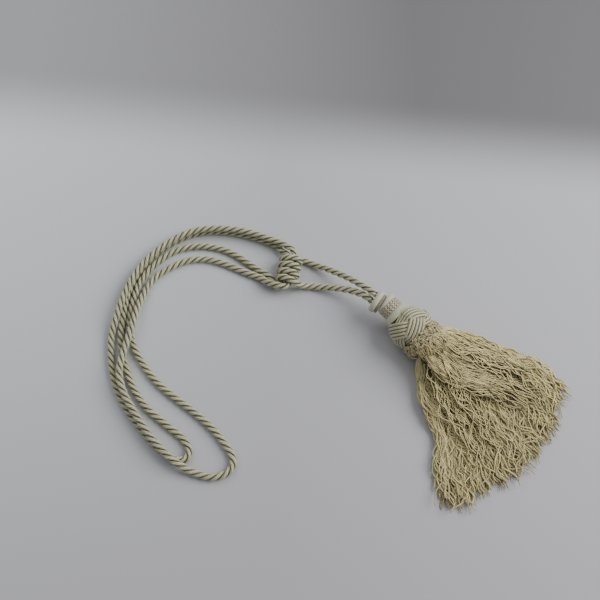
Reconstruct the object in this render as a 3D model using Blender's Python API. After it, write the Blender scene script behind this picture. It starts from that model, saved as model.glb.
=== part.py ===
"""A curtain tieback: a twisted rope ring pinched by a wrapped hanger rope, and a tassel with a
woven knot ball. Origin: centre of the ball's flat spot on the table. +X along the tassel towards
the ends of its skirt, +Z up. Sizes below are in millimetres, built in metres.
"""
import math

import bmesh
import bpy
from mathutils import Vector

MM = 0.001

# rope
ROPE_R = 3.5            # crest radius of the twisted rope
ROPE_VALLEY = 0.66      # valley radius over crest radius
ROPE_LAY = 23.4         # one full turn of the twist
ROPE_STEP = ROPE_LAY / 6

# wrapping turns of the hanger rope round the pinched ring
KNOT_X, KNOT_Y, KNOT_Z = -129.7, -34.1, 10.5
KNOT_AXIS = (0.571, -0.821)
WRAP_TURNS = 3.5
WRAP_PITCH = 7.7
WRAP_START = -13.4      # first turn's place along the knot's axis
WRAP_WIDE, WRAP_HIGH = 9.2, 7.1
WRAP_SIZE = 0.93        # rope in the wraps, against its free size
SLANT_START, SLANT_END = -0.32, -0.02    # lean of the first and the last turn

# tassel head
BALL_R = 22.0
BALL_Z = 21.7
HEAD_RISE = 7.4         # degrees the neck rises above the table
BALL_BACK, BALL_FRONT = -14.5, 11.4
BAND_HALF = 8.0         # half the width of one woven band
BAND_SWING = 10.5       # the band's middle swings this far off the ball's equator
WEAVE_TURN = 80.0       # degrees the weave is turned about the tassel's axis
HOLE_DEPTH = 3.0
CONE_R0, CONE_R1 = 11.3, 14.2
BRAID_R = 11.0
BEAD_R = 11.2
BEAD_SHEAR = 0.19       # the bead is a wedge, thicker where the collar leans away
COLLAR_R, COLLAR_LONG = 11.6, 8.8
RUFF_R = 20.0

# skirt
SKIRT_COLS, SKIRT_ROWS = 22, 3
LOCK_SEGMENTS = 5
FLOOR_GAP = 0.06

# middle of the embrace rope: x, y, z, size against the free rope
EMBRACE = (
    (-131.5, -36, 10.5, 0.7), (-128.5, -40.5, 10.5, 0.7), (-125, -45.5, 10.5, 0.7),
    (-123, -49, 9, 0.8), (-123, -51.5, 6.4, 0.9), (-126.5, -55, 4.2, 1), (-132.5, -54, 3.7, 1),
    (-138.5, -52, 3.7, 1), (-152.5, -54.5, 3.6, 1), (-167.5, -57, 3.6, 1), (-182, -59.5, 3.6, 1),
    (-195, -64, 3.6, 1), (-210.5, -74, 3.6, 1), (-221.5, -86, 3.6, 1), (-229.5, -101.5, 3.6, 1),
    (-232, -119.5, 3.6, 1), (-230.5, -137.5, 3.6, 1), (-224.5, -154, 3.6, 1), (-214, -169, 3.6, 1),
    (-199.5, -185, 3.6, 1), (-181.5, -196, 3.6, 1), (-159, -202.5, 3.6, 1), (-136, -205, 3.6, 1),
    (-113, -203, 3.6, 1), (-88.5, -199.5, 3.6, 1), (-65.5, -198, 3.6, 1), (-47.5, -199.5, 3.6, 1),
    (-33.5, -202.5, 3.6, 1), (-26.5, -208.5, 3.7, 1), (-26, -217.5, 3.7, 1), (-33, -228.5, 3.7, 1),
    (-45, -236, 4.6, 1), (-56, -240.5, 7.5, 1), (-67, -243, 10.6, 1), (-80, -244, 11.1, 1),
    (-97, -243.5, 11.1, 1), (-113, -241.5, 11.1, 1), (-130, -238.5, 11.1, 1),
    (-146, -234.5, 11.1, 1), (-160.5, -228, 11.1, 1), (-171, -219, 11.1, 1),
    (-179, -207.5, 11.1, 1), (-190, -190.5, 11.1, 1), (-199.5, -177, 11.1, 1),
    (-208, -165, 7.6, 1), (-214.5, -153, 4.6, 1), (-218.5, -144, 3.6, 1), (-220.5, -131, 3.6, 1),
    (-218, -115.5, 3.6, 1), (-211.5, -98, 3.6, 1), (-199, -83.5, 3.6, 1), (-183, -74.5, 3.6, 1),
    (-171.5, -70, 3.6, 1), (-159, -65.5, 4, 1), (-145, -60, 5, 1), (-136.5, -59.5, 7.8, 1),
    (-128.5, -57.5, 11.1, 1), (-122.5, -55, 12.7, 1), (-118, -51.5, 12.6, 0.9),
    (-118, -46.5, 11.1, 0.8), (-120.5, -42.5, 10.5, 0.7), (-124.5, -36.5, 10.5, 0.7),
    (-130.5, -28.5, 10.5, 0.7), (-134.5, -22.5, 10.5, 0.7), (-137.5, -19, 11.6, 0.8),
    (-142.5, -17.5, 13.2, 0.92), (-150, -19, 13.2, 1), (-158.5, -21, 12, 1),
    (-168, -24.5, 11.1, 1), (-183.5, -31.5, 11.1, 1), (-198.5, -40.5, 11.1, 1),
    (-213.5, -53, 11.1, 1), (-226.5, -68, 11.1, 1), (-234.5, -85.5, 11.1, 1),
    (-238.5, -107, 11.1, 1), (-238.5, -125.5, 11.1, 1), (-235.5, -142.5, 11.5, 1),
    (-229, -160.5, 11.1, 1), (-219.5, -178.5, 10.7, 1), (-211.5, -191.5, 8.6, 1),
    (-204, -203.5, 5.2, 1), (-194, -213.5, 4, 1), (-177, -226, 3.8, 1), (-157.5, -236, 3.7, 1),
    (-135.5, -242, 3.7, 1), (-114.5, -244.5, 3.6, 1), (-95.5, -245.5, 3.6, 1), (-79, -244, 3.6, 1),
    (-67, -240.5, 3.6, 1), (-61.5, -234, 3.6, 1), (-65, -226.5, 3.6, 1), (-76, -223.5, 3.6, 1),
    (-100, -226, 3.6, 1), (-124, -228, 3.6, 1), (-145, -225, 3.6, 1), (-164, -218, 3.6, 1),
    (-184, -208, 3.6, 1), (-198, -197.5, 3.6, 1), (-209, -186, 3.6, 1), (-220.5, -173, 3.6, 1),
    (-231, -157, 3.6, 1), (-237.5, -140.5, 3.6, 1), (-240, -122.5, 3.6, 1), (-239.5, -104, 3.6, 1),
    (-235, -84.5, 3.6, 1), (-227, -68, 3.6, 1), (-214.5, -53.5, 3.6, 1), (-198.5, -41, 3.6, 1),
    (-184, -32.5, 3.6, 1), (-169, -25.5, 3.7, 1), (-159, -22.5, 4.2, 1), (-151, -24, 5.8, 1),
    (-145.5, -23.5, 7.6, 0.9), (-141, -24, 9.6, 0.78), (-138, -27, 10.5, 0.7),
    (-135, -31.5, 10.5, 0.7), (-132, -35.5, 10.5, 0.7),
)

# hanger rope from the collar to the wraps, and from the wraps back to the collar: x, y, z, size
LEG_IN = (
    (-44.8, -0.9, 28.4, 1), (-50, -0.9, 27.8, 1), (-57, -1.3, 26.6, 1), (-64, -2.2, 24.8, 1),
    (-71.5, -2.7, 22.3, 1), (-79.5, -3.5, 19.3, 1), (-88, -4.5, 15.8, 1), (-97, -6.1, 12.1, 1),
    (-106, -7.6, 8.3, 1), (-115, -10.4, 5.2, 1), (-123.9, -13, 4, 1), (-133.2, -18.2, 3.5, 0.97),
)
LEG_OUT = (
    (-117.4, -43.3, 17, 0.95), (-113.3, -41.1, 13.3, 1), (-110.8, -39.1, 9, 1),
    (-108.2, -36, 5.8, 1), (-103.5, -31.2, 4.3, 1), (-95.6, -25.2, 5.4, 1), (-87, -19.8, 8.5, 1),
    (-79, -15.6, 12.1, 1), (-72, -12.2, 15.2, 1), (-65, -9.9, 18.2, 1), (-59, -8.2, 20.6, 1),
    (-52, -7, 22.7, 1), (-44.2, -6.9, 24, 1),
)


for ob in list(bpy.data.objects):
    bpy.data.objects.remove(ob, do_unlink=True)


def smooth_path(points, step):
    """Points at an even step along a centripetal spline through the given points."""
    pts = [tuple(float(c) for c in p) for p in points]
    first = tuple(2 * a - b for a, b in zip(pts[0], pts[1]))
    last = tuple(2 * a - b for a, b in zip(pts[-1], pts[-2]))
    pts = [first] + pts + [last]
    fine = []
    for i in range(1, len(pts) - 2):
        p = pts[i - 1:i + 3]
        t = [0.0]
        for a, b in zip(p, p[1:]):
            t.append(t[-1] + max(math.dist(a[:3], b[:3]), 1e-6) ** 0.5)
        for k in range(16):
            u = t[1] + (t[2] - t[1]) * k / 16
            a = [[((t[j + 1] - u) * x + (u - t[j]) * y) / (t[j + 1] - t[j])
                  for x, y in zip(p[j], p[j + 1])] for j in range(3)]
            b = [[((t[j + 2] - u) * x + (u - t[j]) * y) / (t[j + 2] - t[j])
                  for x, y in zip(a[j], a[j + 1])] for j in range(2)]
            fine.append([((t[2] - u) * x + (u - t[1]) * y) / (t[2] - t[1])
                         for x, y in zip(b[0], b[1])])
    fine.append(list(pts[-2]))
    run = [0.0]
    for a, b in zip(fine, fine[1:]):
        run.append(run[-1] + math.dist(a[:3], b[:3]))
    count = max(2, round(run[-1] / step))
    out, k = [], 0
    for i in range(count + 1):
        s = run[-1] * i / count
        while k < len(run) - 2 and run[k + 1] < s:
            k += 1
        f = (s - run[k]) / (run[k + 1] - run[k])
        out.append([a + (b - a) * f for a, b in zip(fine[k], fine[k + 1])])
    return out


def carried_frames(path):
    """Tangent and two normals at each point, carried along without spin."""
    pts = [Vector(p[:3]) for p in path]
    frames, normal = [], None
    for i, p in enumerate(pts):
        tangent = (pts[min(i + 1, len(pts) - 1)] - pts[max(i - 1, 0)]).normalized()
        if normal is None:
            normal = tangent.cross(Vector((0, 0, 1))).normalized()
        normal = (normal - tangent * normal.dot(tangent)).normalized()
        frames.append((p, tangent, normal, tangent.cross(normal)))
    return frames


def add_object(name, verts, faces, colour, rough, sheen=0.0):
    mesh = bpy.data.meshes.new(name)
    mesh.from_pydata([(x * MM, y * MM, z * MM) for x, y, z in verts], [], faces)
    bm = bmesh.new()
    bm.from_mesh(mesh)
    bmesh.ops.recalc_face_normals(bm, faces=bm.faces)
    bmesh.ops.triangulate(bm, faces=[f for f in bm.faces if len(f.verts) > 4])
    bm.to_mesh(mesh)
    bm.free()
    ob = bpy.data.objects.new(name, mesh)
    bpy.context.collection.objects.link(ob)
    mat = bpy.data.materials.new(name)
    mat.use_nodes = True
    node = mat.node_tree.nodes["Principled BSDF"]
    node.inputs["Base Color"].default_value = (*colour, 1)
    node.inputs["Roughness"].default_value = rough
    node.inputs["Sheen Weight"].default_value = sheen
    mesh.materials.append(mat)
    return ob


def add_rope(name, points, colour):
    """Three strands twisted together: six points a ring, crest and valley, turned each step."""
    path = smooth_path(points, ROPE_STEP)
    verts, faces = [], []
    for i, ((p, _, n, b), q) in enumerate(zip(carried_frames(path), (p[3] for p in path))):
        for k in range(6):
            r = ROPE_R * q * (1.0 if k % 2 == 0 else ROPE_VALLEY)
            a = math.pi / 3 * k - 2 * math.pi * i / 6
            verts.append(tuple(p + (n * math.cos(a) + b * math.sin(a)) * r))
    for i in range(len(path) - 1):
        for k in range(6):
            a, b = i * 6 + k, i * 6 + (k + 1) % 6
            faces.append((a, b, b + 6, a + 6))
    faces.append(tuple(range(5, -1, -1)))
    faces.append(tuple(range(len(verts) - 6, len(verts))))
    return add_object(name, verts, faces, colour, 0.55, 0.3)


def wrap_points():
    ax, ay = KNOT_AXIS
    count = int(WRAP_TURNS * 12)
    out = []
    for i in range(count + 1):
        turn = WRAP_TURNS * i / count
        a = -math.pi / 2 - 2 * math.pi * turn
        side = WRAP_WIDE * math.cos(a)
        slant = SLANT_START + (SLANT_END - SLANT_START) * i / count
        s = WRAP_START + WRAP_PITCH * turn + slant * side
        out.append((KNOT_X - ay * side + ax * s, KNOT_Y + ax * side + ay * s,
                    KNOT_Z + WRAP_HIGH * math.sin(a), WRAP_SIZE))
    return tuple(out)


add_rope("embrace_rope", EMBRACE, (0.46, 0.45, 0.31))
add_rope("hanger_rope", LEG_IN + wrap_points() + LEG_OUT, (0.46, 0.45, 0.31))

# the tassel's axis: local +Z of the turned pieces points from the skirt to the neck
rise = math.radians(HEAD_RISE)
BACK = Vector((-math.cos(rise), 0, math.sin(rise)))
SIDE = Vector((0, 1, 0))
UPWARD = SIDE.cross(BACK) * -1
if UPWARD.z < 0:
    UPWARD = -UPWARD
HEAD = (Vector((0, 0, BALL_Z)), BACK, SIDE, UPWARD)


def on_axis(frame, along, radius, angle):
    centre, axis, side, upward = frame
    return centre + axis * along + (side * math.cos(angle) + upward * math.sin(angle)) * radius


def add_turned(name, frame, profile, around, colour, rough, bump=None, floor=None):
    """A closed body turned from (along, radius) points; bump(row, column) adds to the radius."""
    verts, faces = [], []
    for row, (along, radius) in enumerate(profile):
        for k in range(around):
            r = radius + (bump(row, k) if bump else 0.0)
            v = on_axis(frame, along, r, 2 * math.pi * k / around)
            if floor is not None:
                v.z = max(v.z, floor)
            verts.append(tuple(v))
    rows = len(profile)
    for row in range(rows - 1):
        for k in range(around):
            a, b = row * around + k, row * around + (k + 1) % around
            faces.append((a, b, b + around, a + around))
    faces.append(tuple(range(around - 1, -1, -1)))
    faces.append(tuple(range((rows - 1) * around, rows * around)))
    return add_object(name, verts, faces, colour, rough, 0.2)


# satin covered bead the two legs enter; it droops a little off the tassel's axis
turn = math.radians(191)
collar_axis = Vector((math.cos(turn), math.sin(turn), 0.115)).normalized()
collar_side = Vector((0, 0, 1)).cross(collar_axis).normalized()
COLLAR = (Vector((-38.6, -4.4, 25.3)), collar_axis, collar_side, collar_axis.cross(collar_side))
half = COLLAR_LONG / 2
add_turned("collar", COLLAR, (
    (-half, 8.8), (-half + 0.5, 9.8), (-half + 1.6, 10.4), (-half + 2.6, 10.2),
    (-half + 3.1, 10.9), (-half + 4.4, COLLAR_R), (half - 1.9, COLLAR_R), (half - 0.7, 10.9),
    (half, 9.6)), 28, (0.62, 0.60, 0.46), 0.4)

bead = add_turned("neck_bead", HEAD, (
    (30.1, 9.8), (30.6, 10.8), (31.3, BEAD_R), (32.1, 10.7), (32.7, 9.4)), 28,
    (0.72, 0.69, 0.55), 0.4)
for v in bead.data.vertices:
    local = Vector(v.co) / MM - HEAD[0]
    share = min(1.0, max(0.0, (local.dot(BACK) - 30.6) / 2.1))
    v.co += BACK * (BEAD_SHEAR * share * (local.dot(SIDE) + 10.0) * MM)


def braid_bump(row, k):
    return 0.35 if (row + k) % 2 else 0.0


add_turned("braid_band", HEAD, tuple(
    (21.7 + 8.1 * i / 6, BRAID_R - 0.35 - (0.5 if i in (0, 6) else 0.0)) for i in range(7)), 32,
    (0.55, 0.42, 0.36), 0.8, braid_bump)

add_turned("neck_cone", HEAD, (
    (14.9, CONE_R1 - 0.4), (15.3, CONE_R1), (18.0, 12.9), (20.8, CONE_R0), (21.3, CONE_R0 - 0.6)),
    32, (0.70, 0.67, 0.53), 0.4)

# the woven knot: one closed strand, three times round with four bights, five cords wide
TRACE = 720
trace = []
for i in range(TRACE):
    t = 2 * math.pi * i / TRACE
    lat = BAND_SWING / BALL_R * math.cos(4 * t)
    lon = 3 * t + math.radians(WEAVE_TURN)
    trace.append((Vector((-math.cos(lat) * math.cos(lon), math.cos(lat) * math.sin(lon),
                          math.sin(lat))), math.sin(8 * t)))


def ball_radius(direction):
    """Radius of the woven ball in a unit direction, in the ball's own frame."""
    dist = [BALL_R * math.acos(max(-1.0, min(1.0, direction.dot(p)))) for p, _ in trace]
    best = BALL_R - HOLE_DEPTH
    for i in range(TRACE):
        d = dist[i]
        if d < BAND_HALF and d <= dist[i - 1] and d <= dist[(i + 1) % TRACE]:
            crown = 1.0 * (d / BAND_HALF) ** 2
            best = max(best, BALL_R - 0.65 + 0.65 * trace[i][1] - crown)
    return best


AROUND, BANDS = 64, 26
lat0, lat1 = math.asin(-BALL_FRONT / BALL_R), math.asin(-BALL_BACK / BALL_R)
verts, faces = [], []
for row in range(BANDS + 1):
    lat = lat0 + (lat1 - lat0) * row / BANDS
    for k in range(AROUND):
        a = 2 * math.pi * (k + 0.5 * (row % 2)) / AROUND
        d = Vector((math.cos(lat) * math.cos(a), math.cos(lat) * math.sin(a), math.sin(lat)))
        place = SIDE * d.x + UPWARD * d.y + BACK * d.z
        r = ball_radius(d)
        if place.angle(Vector((0, 0, -1))) < 0.34:
            r = BALL_R
        if row in (0, BANDS):
            r = BALL_R - 0.6
        verts.append(tuple(HEAD[0] + place * r))
for row in range(BANDS):
    for k in range(AROUND):
        a, b = row * AROUND + k, row * AROUND + (k + 1) % AROUND
        c, d = a + AROUND, b + AROUND
        if row % 2 == 0:
            faces += [(a, b, c), (b, d, c)]
        else:
            faces += [(a, b, d), (a, d, c)]
faces.append(tuple(range(AROUND - 1, -1, -1)))
faces.append(tuple(range(BANDS * AROUND, (BANDS + 1) * AROUND)))
ball = add_object("knot_ball", verts, faces, (0.52, 0.49, 0.38), 0.7, 0.2)
bm = bmesh.new()
bm.from_mesh(ball.data)
cut = bmesh.ops.bisect_plane(bm, geom=list(bm.verts) + list(bm.edges) + list(bm.faces),
                             plane_co=(0, 0, 0), plane_no=(0, 0, -1), clear_outer=True)
edges = [e for e in cut["geom_cut"] if isinstance(e, bmesh.types.BMEdge)]
bmesh.ops.holes_fill(bm, edges=edges, sides=0)
bmesh.ops.triangulate(bm, faces=[f for f in bm.faces if len(f.verts) > 4])
bmesh.ops.recalc_face_normals(bm, faces=bm.faces)
bm.to_mesh(ball.data)
bm.free()


def ruff_bump(row, k):
    wave = math.sin(2.1 * k + 1.9 * row) + 0.6 * math.sin(1.3 * k - 2.7 * row + 0.8)
    return 0.0 if row in (0, 8) else 0.85 * wave - 0.3


add_turned("ruff", HEAD, (
    (-11.8, 16.5), (-12.4, 19.0), (-13.8, RUFF_R), (-15.4, RUFF_R + 0.4), (-17.0, RUFF_R + 0.2),
    (-18.6, RUFF_R), (-20.2, RUFF_R - 0.3), (-21.8, 19.0), (-22.8, 17.0)), 40,
    (0.58, 0.46, 0.38), 0.9, ruff_bump, 0.15)

# skirt: locks drawn out of the front of a low backing, spread into a flat fan on the table
# stations of the fan: left edge x, y; right edge x, y; bow of the middle; crest height;
# half width and half height of one lock
FAN = (
    (31.0, -23.5, 26.0, 29.5, 8.0, 26.0, 0.50, 0.55),
    (58.0, -44.5, 60.0, 46.5, 9.0, 17.0, 0.75, 0.60),
    (86.0, -57.5, 88.0, 58.5, 13.0, 11.0, 1.00, 0.70),
    (112.0, -86.5, 116.0, 66.5, 17.0, 8.5, 1.15, 0.75),
)
TIPS = ((127.0, -97.5), (136.0, -95.5), (141.5, -87.0), (150.0, -71.5), (157.0, -52.0),
        (164.0, -35.0), (165.5, -10.0), (164.5, 8.0), (160.0, 25.5), (152.0, 44.0),
        (144.0, 64.0))
TIP_HIGH, TIP_HALF, TIP_TALL = 6.8, 1.2, 0.75
DISC_R, DISC_ALONG, DISC_BACK = 16.0, -25.8, -23.2


def disc_point(u, w, along=DISC_ALONG):
    a, b = 2 * u - 1, 2 * w - 1
    x = a * math.sqrt(1 - b * b / 2)
    y = b * math.sqrt(1 - a * a / 2)
    return HEAD[0] + BACK * along + (SIDE * x + UPWARD * y) * DISC_R


def tip_point(u):
    lengths = [math.dist(a, b) for a, b in zip(TIPS, TIPS[1:])]
    s = u * sum(lengths)
    for (a, b), length in zip(zip(TIPS, TIPS[1:]), lengths):
        if s <= length:
            f = s / length
            return a[0] + (b[0] - a[0]) * f, a[1] + (b[1] - a[1]) * f
        s -= length
    return TIPS[-1]


def fan_point(station, u, w):
    """Middle of a lock at one station, with its half width and half height."""
    if station < len(FAN):
        xl, yl, xr, yr, bow, high, wide, tall = FAN[station]
        x, y = xl + (xr - xl) * u + bow * 4 * u * (1 - u), yl + (yr - yl) * u
        if station < 3:
            high *= 0.72 + 0.28 * math.sin(math.pi * u)
    else:
        (x, y), high, wide, tall = tip_point(u), TIP_HIGH, TIP_HALF, TIP_TALL
    low = FLOOR_GAP + tall
    y += 1.6 * math.sin(1.5 * station + 9 * u) if station else 0.0
    return x, y, low + (high - low) * w, wide, tall


def skirt_body():
    verts, faces = [], []
    cols, rows = SKIRT_COLS, SKIRT_ROWS
    for j in range(rows + 1):
        for i in range(cols + 1):
            verts.append(tuple(disc_point(i / cols, j / rows)))

    def node(i, j):
        return j * (cols + 1) + i

    def lock(root, u, w, upside, number):
        """One lock drawn out of a three-cornered patch of the backing."""
        mid = sum((Vector(verts[k]) for k in root), Vector()) / 3
        start = len(verts)
        for k in root:
            verts.append(tuple(mid + (Vector(verts[k]) - mid) * 0.62))
        for k in range(3):
            a, b = root[k], root[(k + 1) % 3]
            faces.append((a, b, start + (k + 1) % 3, start + k))
        spots = [fan_point(s, u, w) for s in range(LOCK_SEGMENTS)]
        reach = 1.0 + 0.035 * math.sin(12.9898 * number) * (1 if number % 3 else 0.4)
        last, before = spots[-1], spots[-2]
        spots[-1] = tuple(b + (a - b) * reach for a, b in zip(last[:2], before[:2])) + last[2:]
        for s, (x, y, z, wide, tall) in enumerate(spots):
            px, py = spots[s - 1][:2] if s else (mid.x, mid.y)
            nx, ny = spots[s + 1][:2] if s < LOCK_SEGMENTS - 1 else (x, y)
            dx, dy = nx - px, ny - py
            size = math.hypot(dx, dy)
            lx, ly = -dy / size, dx / size
            if upside:
                ring = ((1, 1), (-1, 1), (0, -1))
            else:
                ring = ((-1, -1), (1, -1), (0, 1))
            for a, b in ring:
                verts.append((x + lx * a * wide, y + ly * a * wide, z + b * tall))
        for s in range(LOCK_SEGMENTS):
            for k in range(3):
                a, b = start + s * 3 + k, start + s * 3 + (k + 1) % 3
                faces.append((a, b, b + 3, a + 3))
        end = start + LOCK_SEGMENTS * 3
        faces.append((end, end + 1, end + 2))

    number = 0
    for j in range(rows):
        for i in range(cols):
            u0 = (i + 0.33 * j) / (cols - 0.3)
            a, b = node(i, j), node(i + 1, j)
            c, d = node(i, j + 1), node(i + 1, j + 1)
            lock((a, b, c), u0 + 0.10 / cols, (j + 0.12) / (rows - 0.3), False, number)
            lock((d, c, b), u0 + 0.60 / cols, (j + 0.42) / (rows - 0.3), True, number + 1)
            number += 2
    rim = [node(i, 0) for i in range(cols)] + [node(cols, j) for j in range(rows)]
    rim += [node(i, rows) for i in range(cols, 0, -1)] + [node(0, j) for j in range(rows, 0, -1)]
    first = len(verts)
    for k in rim:
        verts.append(tuple(Vector(verts[k]) + BACK * (DISC_BACK - DISC_ALONG)))
    for k in range(len(rim)):
        a, b = k, (k + 1) % len(rim)
        faces.append((rim[b], rim[a], first + a, first + b))
    faces.append(tuple(range(first, first + len(rim))))
    return verts, faces


skirt_verts, skirt_faces = skirt_body()
add_object("skirt", skirt_verts, skirt_faces, (0.68, 0.61, 0.38), 0.75, 0.4)
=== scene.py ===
"""Curtain tieback laid on a table: a twisted rope ring pinched into loops, a wrapped hanger rope
and a tassel with a woven knot ball. Lengths in the tables are in millimetres.
"""
import math
import random

import bpy
from mathutils import Matrix, Vector


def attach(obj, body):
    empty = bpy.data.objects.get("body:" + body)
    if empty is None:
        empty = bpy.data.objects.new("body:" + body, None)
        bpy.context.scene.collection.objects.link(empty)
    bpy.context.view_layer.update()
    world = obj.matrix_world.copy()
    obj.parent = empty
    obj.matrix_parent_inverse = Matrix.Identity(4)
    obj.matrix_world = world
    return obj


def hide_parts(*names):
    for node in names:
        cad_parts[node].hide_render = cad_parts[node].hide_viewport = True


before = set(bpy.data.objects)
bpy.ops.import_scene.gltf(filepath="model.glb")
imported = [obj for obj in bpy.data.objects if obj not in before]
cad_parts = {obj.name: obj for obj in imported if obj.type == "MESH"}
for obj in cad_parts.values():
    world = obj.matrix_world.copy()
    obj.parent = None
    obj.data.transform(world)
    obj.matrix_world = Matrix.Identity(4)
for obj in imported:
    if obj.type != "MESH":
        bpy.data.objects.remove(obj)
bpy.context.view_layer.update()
MM = 0.001
scene = bpy.context.scene

# ---- camera -------------------------------------------------------------------------------------
# A short telephoto look down at the table, with the tassel to the lower right.
CAMERA_AT, CAMERA_TO = Vector((114.6, -263.3, 685.2)), Vector((-101.1, -47.6, 0.0))
bpy.ops.object.camera_add(location=CAMERA_AT * MM)
camera = bpy.context.object
camera.name = "camera"
forward = (CAMERA_TO - CAMERA_AT).normalized()
right = Vector((math.sqrt(0.5), math.sqrt(0.5), 0.0))
camera.rotation_euler = Matrix((right, right.cross(forward), -forward)).transposed().to_euler()
camera.data.lens = 45.0
camera.data.sensor_width = 36.0
camera.data.clip_start = 0.01
scene.camera = camera

# ---- embrace rope -------------------------------------------------------------------------------
# One ring of three-strand rope, pinched in the wraps into a large and a small loop.
# Columns: x, y, z of its middle, and its size against the free rope.
EMBRACE = (
    (-131.5, -36, 10.5, 0.7), (-128.5, -40.5, 10.5, 0.7), (-125, -45.5, 10.5, 0.7),
    (-123, -49, 9, 0.8), (-123, -51.5, 6.4, 0.9), (-126.5, -55, 4.2, 1), (-132.5, -54, 3.7, 1),
    (-138.5, -52, 3.7, 1), (-152.5, -54.5, 3.6, 1), (-167.5, -57, 3.6, 1), (-182, -59.5, 3.6, 1),
    (-195, -64, 3.6, 1), (-210.5, -74, 3.6, 1), (-221.5, -86, 3.6, 1), (-229.5, -101.5, 3.6, 1),
    (-232, -119.5, 3.6, 1), (-230.5, -137.5, 3.6, 1), (-224.5, -154, 3.6, 1), (-214, -169, 3.6, 1),
    (-199.5, -185, 3.6, 1), (-181.5, -196, 3.6, 1), (-159, -202.5, 3.6, 1), (-136, -205, 3.6, 1),
    (-113, -203, 3.6, 1), (-88.5, -199.5, 3.6, 1), (-65.5, -198, 3.6, 1), (-47.5, -199.5, 3.6, 1),
    (-33.5, -202.5, 3.6, 1), (-26.5, -208.5, 3.7, 1), (-26, -217.5, 3.7, 1), (-33, -228.5, 3.7, 1),
    (-45, -236, 4.6, 1), (-56, -240.5, 7.5, 1), (-67, -243, 10.6, 1), (-80, -244, 11.1, 1),
    (-97, -243.5, 11.1, 1), (-113, -241.5, 11.1, 1), (-130, -238.5, 11.1, 1),
    (-146, -234.5, 11.1, 1), (-160.5, -228, 11.1, 1), (-171, -219, 11.1, 1),
    (-179, -207.5, 11.1, 1), (-190, -190.5, 11.1, 1), (-199.5, -177, 11.1, 1),
    (-208, -165, 7.6, 1), (-214.5, -153, 4.6, 1), (-218.5, -144, 3.6, 1), (-220.5, -131, 3.6, 1),
    (-218, -115.5, 3.6, 1), (-211.5, -98, 3.6, 1), (-199, -83.5, 3.6, 1), (-183, -74.5, 3.6, 1),
    (-171.5, -70, 3.6, 1), (-159, -65.5, 4, 1), (-145, -60, 5, 1), (-136.5, -59.5, 7.8, 1),
    (-128.5, -57.5, 11.1, 1), (-122.5, -55, 12.7, 1), (-118, -51.5, 12.6, 0.9),
    (-118, -46.5, 11.1, 0.8), (-120.5, -42.5, 10.5, 0.7), (-124.5, -36.5, 10.5, 0.7),
    (-130.5, -28.5, 10.5, 0.7), (-134.5, -22.5, 10.5, 0.7), (-137.5, -19, 11.6, 0.8),
    (-142.5, -17.5, 13.2, 0.92), (-150, -19, 13.2, 1), (-158.5, -21, 12, 1),
    (-168, -24.5, 11.1, 1), (-183.5, -31.5, 11.1, 1), (-198.5, -40.5, 11.1, 1),
    (-213.5, -53, 11.1, 1), (-226.5, -68, 11.1, 1), (-234.5, -85.5, 11.1, 1),
    (-238.5, -107, 11.1, 1), (-238.5, -125.5, 11.1, 1), (-235.5, -142.5, 11.5, 1),
    (-229, -160.5, 11.1, 1), (-219.5, -178.5, 10.7, 1), (-211.5, -191.5, 8.6, 1),
    (-204, -203.5, 5.2, 1), (-194, -213.5, 4, 1), (-177, -226, 3.8, 1), (-157.5, -236, 3.7, 1),
    (-135.5, -242, 3.7, 1), (-114.5, -244.5, 3.6, 1), (-95.5, -245.5, 3.6, 1), (-79, -244, 3.6, 1),
    (-67, -240.5, 3.6, 1), (-61.5, -234, 3.6, 1), (-65, -226.5, 3.6, 1), (-76, -223.5, 3.6, 1),
    (-100, -226, 3.6, 1), (-124, -228, 3.6, 1), (-145, -225, 3.6, 1), (-164, -218, 3.6, 1),
    (-184, -208, 3.6, 1), (-198, -197.5, 3.6, 1), (-209, -186, 3.6, 1), (-220.5, -173, 3.6, 1),
    (-231, -157, 3.6, 1), (-237.5, -140.5, 3.6, 1), (-240, -122.5, 3.6, 1), (-239.5, -104, 3.6, 1),
    (-235, -84.5, 3.6, 1), (-227, -68, 3.6, 1), (-214.5, -53.5, 3.6, 1), (-198.5, -41, 3.6, 1),
    (-184, -32.5, 3.6, 1), (-169, -25.5, 3.7, 1), (-159, -22.5, 4.2, 1), (-151, -24, 5.8, 1),
    (-145.5, -23.5, 7.6, 0.9), (-141, -24, 9.6, 0.78), (-138, -27, 10.5, 0.7),
    (-135, -31.5, 10.5, 0.7), (-132, -35.5, 10.5, 0.7),
)
ROPE_R, ROPE_LAY = 3.6, 23.4      # free rope: crest radius and length of one turn of the twist
STRAND_R = 0.98 * ROPE_R / 2.1547     # three equal strands that all but touch each other
STRAND_SIDES, STRAND_STEP = 12, 1.9
NEAR_TABLE = 0.02     # lowest that a rope or a yarn of the skirt may lie
SPAN_POINTS = 16      # fine points between two given ones when a path is smoothed
TAPER = 0.45          # size of a tapered end


def lin(text, alpha=1.0):
    """An sRGB hex colour as linear RGBA."""
    parts = [int(text[i:i + 2], 16) / 255 for i in (1, 3, 5)]
    return tuple(c / 12.92 if c <= 0.04045 else ((c + 0.055) / 1.055) ** 2.4
                 for c in parts) + (alpha,)


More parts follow.
